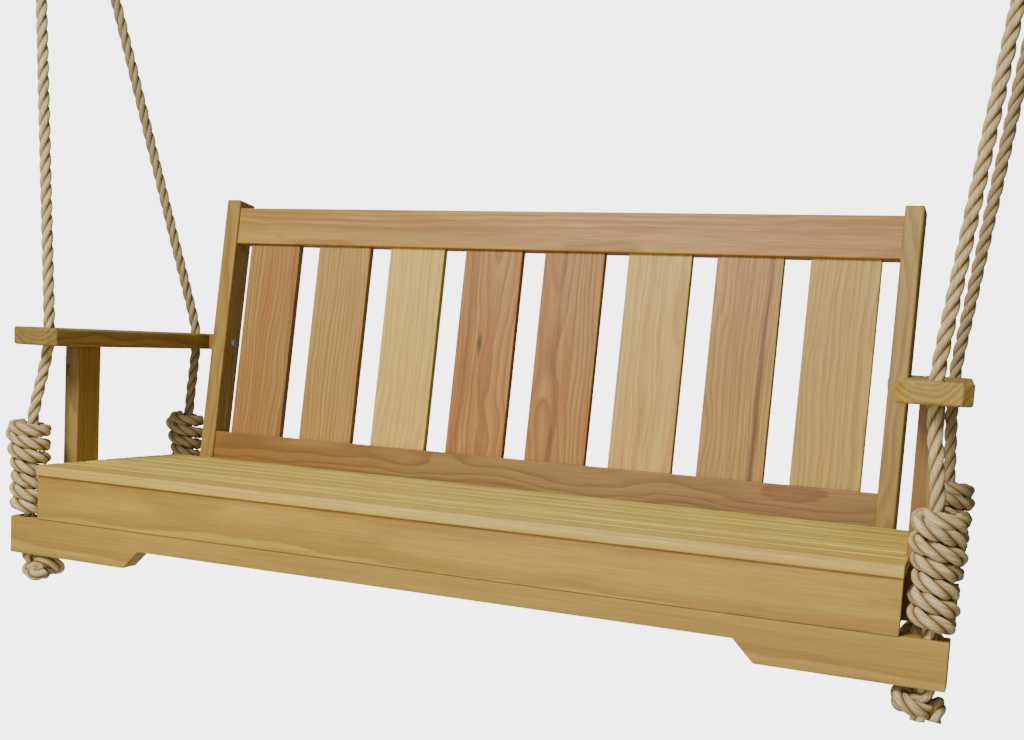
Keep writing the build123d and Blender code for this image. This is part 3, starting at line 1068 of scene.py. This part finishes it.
def board_group() -> bpy.types.NodeTree:
    """Makes the group that draws sawn wood: rings round a pith, fibres, tints, a streak and a dark mark.

    Returns:
        The group.
    """
    tree, shader = new_group("sawn_board", {
        "Origin": (0.0, 0.0, 0.0), "Along": (1.0, 0.0, 0.0), "Across": (0.0, 1.0, 0.0),
        "Through": (0.0, 0.0, 1.0), "Pith": (0.0, 0.02, 0.09), "Ring Gap": 0.01, "Waver": 1.0,
        "Seed": 0.0, "Contrast": 0.5, "Redness": 0.3, "Streak Place": 0.0, "Streak Width": 0.01,
        "Streak": 0.0, "Mark Place": (0.0, 0.0, 0.0), "Mark": 0.0, "Light": srgb(200, 170, 120),
        "Dark": srgb(150, 110, 60), "Tint": srgb(180, 130, 80), "Streak Color": srgb(110, 75, 50),
    })
    given = shader.node("NodeGroupInput").outputs
    place = shader.node("ShaderNodeTexCoord").outputs["Object"]
    offset = shader.vector("SUBTRACT", place, given["Origin"])
    local = shader.packed(*(
        shader.vector("DOT_PRODUCT", offset, given[axis], output="Value")
        for axis in ("Along", "Across", "Through")))
    seeded = shader.vector("ADD", local, shader.packed(given["Seed"], given["Seed"], given["Seed"]))

    def grain(
        along: float, across: float, detail: float = 2.0, roughness: float = 0.55, output: str = "Fac"
    ) -> bpy.types.NodeSocket:
        """Noise that is drawn out along the board.

        Args:
            along: how fine it is along the board.
            across: how fine it is across and through the board.
            detail: how many octaves it has.
            roughness: how strong the finer octaves are.
            output: which output of the noise is wanted.

        Returns:
            That output.
        """
        drawn_out = shader.scaled(seeded, along, across, across)
        return shader.noise(drawn_out, 1.0, detail, roughness, output)

    def stray(along: float, across: float, reach: float) -> bpy.types.NodeSocket:
        """How far the rings are pushed across the board, as a vector."""
        pushed = shader.vector("SUBTRACT", grain(along, across, output="Color"), (0.5, 0.5, 0.5))
        return shader.scaled(pushed, 0.0, reach, reach)

    def faded(distance: bpy.types.NodeSocket) -> bpy.types.NodeSocket:
        """A stain's strength, which fades out at its edge."""
        return shader.remap(distance, 0.45, 1.35, 1.0, 0.0, smooth=True)

    wavered = shader.node("ShaderNodeVectorMath", operation="SCALE")
    shader.feed(wavered.inputs[0], stray(along=2.2, across=6.0, reach=0.055))
    shader.feed(wavered.inputs["Scale"], given["Waver"])
    bent = shader.vector("ADD", wavered.outputs[0], stray(along=9.0, across=26.0, reach=0.007))
    section = shader.scaled(shader.vector("SUBTRACT", local, given["Pith"]), 0.0, 1.0, 1.0)
    radius = shader.vector("LENGTH", shader.vector("ADD", section, bent), output="Value")
    years = shader.noise(shader.packed(shader.product(radius, 45.0), given["Seed"]), 1.0, 2.0)
    ring = shader.math("FRACT", shader.sum(shader.math("DIVIDE", radius, given["Ring Gap"]), years, 2.6))
    late = shader.product(
        shader.remap(ring, 0.20, 0.86, smooth=True), shader.remap(ring, 0.88, 1.0, 1.0, 0.0, smooth=True))

    fibre = grain(along=9.0, across=300.0, detail=3.0, roughness=0.62)
    fine = grain(along=34.0, across=1300.0, roughness=0.6)
    broad = grain(along=1.7, across=16.0)
    bands = grain(along=2.6, across=70.0)

    colour = shader.mix(shader.product(late, given["Contrast"]), given["Light"], given["Dark"])
    red = shader.product(shader.remap(broad, 0.40, 0.62, smooth=True), given["Redness"])
    colour = shader.mix(red, colour, given["Tint"])
    colour = shader.tinted(colour, bands, 0.93, 1.06)
    colour = shader.tinted(colour, fibre, 0.86, 1.12)
    colour = shader.tinted(colour, fine, 0.95, 1.04)

    parts = shader.node("ShaderNodeSeparateXYZ")
    shader.feed(parts.inputs[0], local)
    drift = shader.math("SUBTRACT", grain(along=3.4, across=0.0, detail=1.0), 0.5)
    side = shader.sum(shader.math("SUBTRACT", parts.outputs[1], given["Streak Place"]), drift, 0.05)
    near = shader.math("DIVIDE", shader.math("ABSOLUTE", side), given["Streak Width"])
    streak = shader.product(faded(shader.sum(near, bands, 0.9)), given["Streak"])
    colour = shader.mix(streak, colour, given["Streak Color"])

    beside = shader.scaled(shader.vector("SUBTRACT", local, given["Mark Place"]), 28.0, 130.0, 0.0)
    away = shader.vector("LENGTH", beside, output="Value")
    mark = shader.product(faded(shader.sum(away, fibre, 0.5)), given["Mark"])
    shader.give(
        Color=shader.mix(mark, colour, srgb(70, 42, 26)),
        Roughness=shader.remap(fibre, 0.3, 0.7, 0.66, 0.50),
        Height=shader.sum(fibre, late, 0.4))
    return tree


@dataclass(frozen=True)
class MetalFinish:
    """How one metal looks, and the nodes of the fittings that are made of it.

    spots is how strong its stains are, cells how many crystals there are to a metre, and relief how far its
    surface stands out, in metres.
    """

    name: str
    bright: tuple[int, int, int]
    dull: tuple[int, int, int]
    spot: tuple[int, int, int]
    spots: float
    cells: float
    relief: float
    nodes: tuple[str, ...]
    metallic: float = 1.0
    coat: float = 0.0


METALS = (
    MetalFinish(
        "bright_zinc", (205, 207, 208), (138, 141, 142), (108, 88, 66),
        spots=0.25, cells=420.0, relief=0.0001,
        nodes=("arm_bolts", "bolt_washers", "post_bolts", "post_nuts", "wood_screws", "swing_pins")),
    MetalFinish(
        "dipped_steel", (178, 180, 180), (112, 114, 114), (120, 88, 58),
        spots=0.4, cells=190.0, relief=0.0002,
        nodes=("rope_thimbles",)),
    MetalFinish(
        "black_paint", (34, 34, 35), (21, 21, 22), (92, 66, 46),
        spots=0.2, cells=900.0, relief=0.0003,
        nodes=("ceiling_bracket_left", "ceiling_bracket_right"), metallic=0.0, coat=0.15),
)


class Workshop:
    """Makes each board's, rope's and fitting's finish, and puts it on its node."""

    bump_strength = 0.6

    def __init__(self) -> None:
        """Makes the shared node groups."""
        self.board = board_group()
        self.rope_skin = rope_group()
        self.metal = metal_group()

    def from_group(
        self, name: str, tree: bpy.types.NodeTree, values: dict[str, object], relief: float,
        **principled_values: float,
    ) -> bpy.types.Material:
        """Makes a material whose colour, roughness and relief come from a node group.

        Args:
            name: the material's name.
            tree: the group.
            values: what its inputs are set to.
            relief: how far the relief stands out, in metres.
            **principled_values: inputs of the Principled shader, with _ for a space.

        Returns:
            The material.
        """
        material, shader, principled = start_material(name)
        group = shader.node("ShaderNodeGroup", node_tree=tree)
        for key, value in values.items():
            group.inputs[key].default_value = value
        shader.feed(principled.inputs["Base Color"], group.outputs["Color"])
        shader.feed(principled.inputs["Roughness"], group.outputs["Roughness"])
        bump = shader.node("ShaderNodeBump")
        bump.inputs["Strength"].default_value = self.bump_strength
        bump.inputs["Distance"].default_value = relief
        shader.feed(bump.inputs["Height"], group.outputs["Height"])
        shader.feed(principled.inputs["Normal"], bump.outputs[0])
        for key, value in principled_values.items():
            principled.inputs[key.replace("_", " ")].default_value = value
        return material

    def wood(self, node: str, finish: BoardFinish, seed: float) -> None:
        """Finishes one board.

        Args:
            node: the board's node.
            finish: how it looks.
            seed: what makes its grain differ from the other boards'.
        """
        along, across, through = (BENCH.aim(axis) for axis in finish.grain.value)
        streak_place, streak_width, streak = finish.streak
        *mark_place, mark = finish.mark
        values = {
            "Origin": box_middle(node), "Along": along, "Across": across, "Through": through,
            "Pith": (0.0, *finish.pith), "Ring Gap": finish.ring_gap, "Waver": finish.waver, "Seed": seed,
            "Contrast": finish.contrast, "Redness": finish.redness, "Streak Place": streak_place,
            "Streak Width": streak_width, "Streak": streak, "Mark Place": (*mark_place, 0.0), "Mark": mark,
            **finish.colours(),
        }
        put_on(node, self.from_group(
            f"cedar_{node}", self.board, values, relief=0.0006, Coat_Weight=0.06, Coat_Roughness=0.35))

    def rope(
        self, name: str, weathering_and_shade: float, warmth: tuple[int, int, int], seed: float
    ) -> bpy.types.Material:
        """Makes the finish of a pair of ropes.

        Args:
            name: the material's name.
            weathering_and_shade: how grey it has gone, from 0 to 1; for the rear pair it is weather and
                painted shade.
            warmth: the colour of its strands' crowns, which for the rear pair is darkened as painted shade.
            seed: what makes its yarns differ from the other pair's.

        Returns:
            The material.
        """
        values = {
            "Weather Share": weathering_and_shade, "Crown": srgb(*warmth), "Lay": RopeLay().lay_length, "Seed": seed,
        }
        return self.from_group(name, self.rope_skin, values, relief=0.0011, Specular_IOR_Level=0.25)

    def fitting(self, finish: MetalFinish) -> None:
        """Finishes the fittings that are of one metal.

        Args:
            finish: how the metal looks.
        """
        values = {
            "Bright": srgb(*finish.bright), "Dull": srgb(*finish.dull), "Spot": srgb(*finish.spot),
            "Spots": finish.spots, "Cells": finish.cells,
        }
        metal = self.from_group(
            finish.name, self.metal, values, finish.relief, Metallic=finish.metallic, Coat_Weight=finish.coat)
        for node in finish.nodes:
            put_on(node, metal)


def metal_group() -> bpy.types.NodeTree:
    """Makes the group that draws plated, dipped or painted metal with dull patches and small spots.

    Returns:
        The group.
    """
    tree, shader = new_group("plain_metal", {
        "Bright": srgb(200, 200, 200), "Dull": srgb(130, 130, 130), "Spot": srgb(110, 80, 60),
        "Spots": 0.3, "Cells": 400.0,
    })
    given = shader.node("NodeGroupInput").outputs
    place = shader.node("ShaderNodeTexCoord").outputs["Object"]
    cells = shader.node("ShaderNodeTexVoronoi")
    shader.feed(cells.inputs["Vector"], place)
    shader.feed(cells.inputs["Scale"], given["Cells"])
    spangle = shader.node("ShaderNodeSeparateColor")
    shader.feed(spangle.inputs[0], cells.outputs["Color"])
    patches = shader.noise(place, 55.0, 4.0)
    dull = shader.sum(shader.remap(patches, 0.4, 0.7, 0.0, 0.55), spangle.outputs[0], 0.45)
    colour = shader.mix(dull, given["Bright"], given["Dull"])
    stains = shader.remap(shader.noise(place, 260.0, 3.0), 0.60, 0.72)
    shader.give(
        Color=shader.mix(shader.product(stains, given["Spots"]), colour, given["Spot"]),
        Roughness=shader.remap(dull, 0.0, 1.0, 0.28, 0.52),
        Height=patches)
    return tree


def put_on(node: str, material: bpy.types.Material) -> None:
    """Gives a CAD node its finish.

    Args:
        node: the node's name.
        material: its finish.
    """
    for held in bpy.data.objects[node].material_slots:
        held.material = material
    log.info("%s has its finish", node)


STRAIGHT_BOARDS = ("front_beam", "rear_beam", "front_apron", "front_nose_slat", "back_top_rail", "seat_slat")
STRAIGHT_WAVER = 0.4
SEED_STEP = 2.3


def board_finishes() -> dict[str, BoardFinish]:
    """Chooses every board's finish.

    Each is given as its tone, grain, contrast, ring gap, pith and redness, in that order.

    Returns:
        The finishes, by node.
    """
    length, seat, depth, height, back = Grain.LENGTH, Grain.SEAT, Grain.DEPTH, Grain.HEIGHT, Grain.BACK
    found = {
        "front_beam": BoardFinish((190, 161, 111), length, 0.45, 0.013, (0.03, 0.11), 0.20),
        "rear_beam": BoardFinish((186, 152, 104), length, 0.5, 0.011, (-0.02, 0.09), 0.25),
        "front_apron": BoardFinish((192, 163, 110), length, 0.5, 0.012, (0.01, 0.12), 0.25),
        "front_nose_slat": BoardFinish((204, 178, 122), seat, 0.45, 0.011, (0.0, 0.08), 0.20),
        "back_top_rail": BoardFinish((186, 152, 106), length, 0.5, 0.009, (-0.05, 0.07), 0.45),
        "back_bottom_rail": BoardFinish((168, 135, 92), length, 0.6, 0.008, (0.03, 0.06), 0.3),
        "back_slat_1": BoardFinish(
            (180, 144, 104), back, 0.6, 0.008, (0.09, 0.03), 0.35, streak=(0.066, 0.010, 0.25)),
        "back_slat_2": BoardFinish((189, 154, 112), back, 0.5, 0.009, (-0.11, 0.03), 0.35),
        "back_slat_3": BoardFinish((212, 182, 128), back, 0.35, 0.012, (0.10, 0.05), 0.10),
        "back_slat_4": BoardFinish(
            (186, 146, 102), back, 0.65, 0.009, (0.02, 0.04), 0.45,
            streak=(-0.045, 0.022, 0.35), mark=(0.02, -0.012, 0.9)),
        "back_slat_5": BoardFinish(
            (184, 144, 98), back, 0.6, 0.009, (-0.03, 0.05), 0.45, streak=(-0.018, 0.012, 0.5)),
        "back_slat_6": BoardFinish((206, 175, 122), back, 0.4, 0.012, (0.08, 0.06), 0.15),
        "back_slat_7": BoardFinish(
            (188, 152, 104), back, 0.5, 0.009, (-0.08, 0.04), 0.3, streak=(0.044, 0.011, 0.85)),
        "back_slat_8": BoardFinish((196, 166, 114), back, 0.45, 0.011, (0.09, 0.05), 0.15),
        "armrest_left": BoardFinish((163, 140, 99), depth, 0.55, 0.010, (0.01, 0.05), 0.2),
        "armrest_right": BoardFinish((182, 156, 106), depth, 0.5, 0.010, (-0.01, 0.05), 0.25),
        "arm_post_left": BoardFinish((168, 143, 108), height, 0.45, 0.009, (0.04, 0.05), 0.2),
        "arm_post_right": BoardFinish((174, 142, 104), height, 0.5, 0.009, (-0.04, 0.05), 0.4),
    }
    seat_tones = (
        (212, 190, 132), (216, 196, 138), (208, 188, 130), (216, 194, 138), (210, 190, 134), (212, 190, 132),
    )
    for number, tone in enumerate(seat_tones, start=1):
        pith = (0.02 * (number % 4 - 1.5), 0.07)
        found[f"seat_slat_{number}"] = BoardFinish(tone, seat, 0.45, 0.009 + 0.001 * (number % 3), pith, 0.2)
    post = BoardFinish((178, 150, 102), back, 0.5, 0.010, redness=0.3)
    bearer = BoardFinish((184, 148, 100), depth, 0.5, 0.010, (0.02, 0.06), 0.35)
    for side in Side:
        found[f"back_post_{side.word}"] = replace(post, pith=(0.03 * side.value, 0.06))
        found[f"arm_spacer_{side.word}"] = BoardFinish((176, 138, 92), depth, 0.5, 0.009, (0.02, 0.04), 0.4)
        for kind in ("seat", "back", "end"):
            found[f"{kind}_bearer_{side.word}"] = bearer
    found["seat_bearer_middle"] = BoardFinish((186, 150, 102), depth, 0.5, 0.010, (-0.02, 0.06), 0.3)
    for node, finish in found.items():
        if node.startswith(STRAIGHT_BOARDS):
            found[node] = replace(finish, waver=STRAIGHT_WAVER)
    return found


# --------------------------------------------------------------------------------------------------- studio
@dataclass(frozen=True)
class Lamp:
    """A soft round light, placed from what it is turned to."""

    name: str
    place: tuple[float, float, float]
    size: float
    power: float


@dataclass(frozen=True)
class Studio:
    """The floor, the soft lights and the camera.

    camera_place and aim are in the bench's axes, and aim is what the lights are turned to. air is how bright
    the air lights the bench, and white how bright the air and the floor are to the camera.
    """

    camera_place: tuple[float, float, float] = (1.0359, -2.0484, 0.5217)
    yaw: float = 0.3995
    pitch: float = -0.0966
    roll: float = -0.0535
    lens: float = 43.73
    shift_x: float = 0.0161
    shift_y: float = 0.0844
    sensor: float = 36.0
    aim: tuple[float, float, float] = (0.0, 0.2, 0.3)
    floor_drop: float = 0.55
    floor_half: float = 14.0
    floor_grey: float = 0.62
    floor_roughness: float = 0.9
    air: float = 0.12
    white: float = 4.5
    lamps: tuple[Lamp, ...] = (
        Lamp("key_light", (-0.6, -2.7, 3.0), 1.5, 215.0),
        Lamp("fill_light", (0.2, -3.6, 0.6), 2.0, 34.0),
        Lamp("back_light", (-0.6, 2.6, 2.4), 1.8, 30.0),
    )

    def build(self) -> None:
        """Sets up the camera, the floor, the air and the lights."""
        self.camera()
        self.floor()
        self.background()
        for lamp in self.lamps:
            self.hang(lamp)

    def camera(self) -> None:
        """Stands the camera at the viewing angle."""
        data = bpy.data.cameras.new("camera")
        data.lens, data.sensor_width = self.lens, self.sensor
        data.shift_x, data.shift_y = self.shift_x, self.shift_y
        level = Matrix.Rotation(math.pi / 2, 4, "X")
        turn = Matrix.Rotation(self.yaw, 4, "Z") @ Matrix.Rotation(self.pitch, 4, "X")
        turn = BENCH.turn @ turn @ Matrix.Rotation(self.roll, 4, "Y") @ level
        holder = bpy.data.objects.new("camera", data)
        holder.matrix_world = Matrix.Translation(BENCH.place(self.camera_place)) @ turn
        bpy.context.scene.collection.objects.link(holder)
        bpy.context.scene.camera = holder

    def floor(self) -> None:
        """Lays the pale floor below the bench, as bright to the camera as the air behind it."""
        floor = bmesh.new()
        bmesh.ops.create_grid(floor, x_segments=1, y_segments=1, size=self.floor_half)
        bmesh.ops.translate(floor, verts=floor.verts, vec=(0, 0, CAD_BOX[0][2] - self.floor_drop))
        material, shader, principled = start_material("pale_floor")
        principled.inputs["Base Color"].default_value = (self.floor_grey, self.floor_grey, self.floor_grey, 1)
        principled.inputs["Roughness"].default_value = self.floor_roughness
        principled.inputs["Emission Color"].default_value = (1, 1, 1, 1)
        seen = shader.node("ShaderNodeLightPath").outputs["Is Camera Ray"]
        shader.feed(principled.inputs["Emission Strength"], shader.product(seen, self.white))
        finished("floor", floor, material)

    def background(self) -> None:
        """Lights the air evenly, and makes it white behind the bench."""
        world = bpy.data.worlds.new("studio_air")
        world.use_nodes = True
        shader = Shader(world.node_tree)
        air = world.node_tree.nodes["Background"]
        air.inputs["Color"].default_value = (1, 1, 1, 1)
        seen = shader.node("ShaderNodeLightPath").outputs["Is Camera Ray"]
        shader.feed(air.inputs["Strength"], shader.remap(seen, 0.0, 1.0, self.air, self.white))
        bpy.context.scene.world = world

    def hang(self, lamp: Lamp) -> None:
        """Hangs one light, turned to the middle of the bench.

        Args:
            lamp: the light.
        """
        middle = BENCH.place(self.aim)
        data = bpy.data.lights.new(lamp.name, "AREA")
        data.shape, data.size, data.energy = "DISK", lamp.size, lamp.power
        holder = bpy.data.objects.new(lamp.name, data)
        at = middle + Vector(lamp.place)
        facing = (middle - at).to_track_quat("-Z", "Y").to_matrix().to_4x4()
        holder.matrix_world = Matrix.Translation(at) @ facing
        bpy.context.scene.collection.objects.link(holder)


def main() -> None:
    """Builds the swing in order: the studio, the ropes, the boards' finishes and the fittings'."""
    logging.basicConfig(level=logging.INFO, format="%(message)s")
    Studio().build()
    shop = Workshop()
    Ropes({
        End.FRONT: shop.rope("manila_front", weathering_and_shade=0.25, warmth=(222, 202, 148), seed=3.0),
        # The rear pair is greyer and darker than the front pair as painted shade, for the shade that falls on
        # the rear ropes.
        End.REAR: shop.rope("manila_rear", weathering_and_shade=0.6, warmth=(178, 162, 122), seed=8.0),
    }).build()
    for number, (node, finish) in enumerate(board_finishes().items()):
        shop.wood(node, finish, SEED_STEP * number)
    for finish in METALS:
        shop.fitting(finish)


if __name__ == "__main__":
    main()
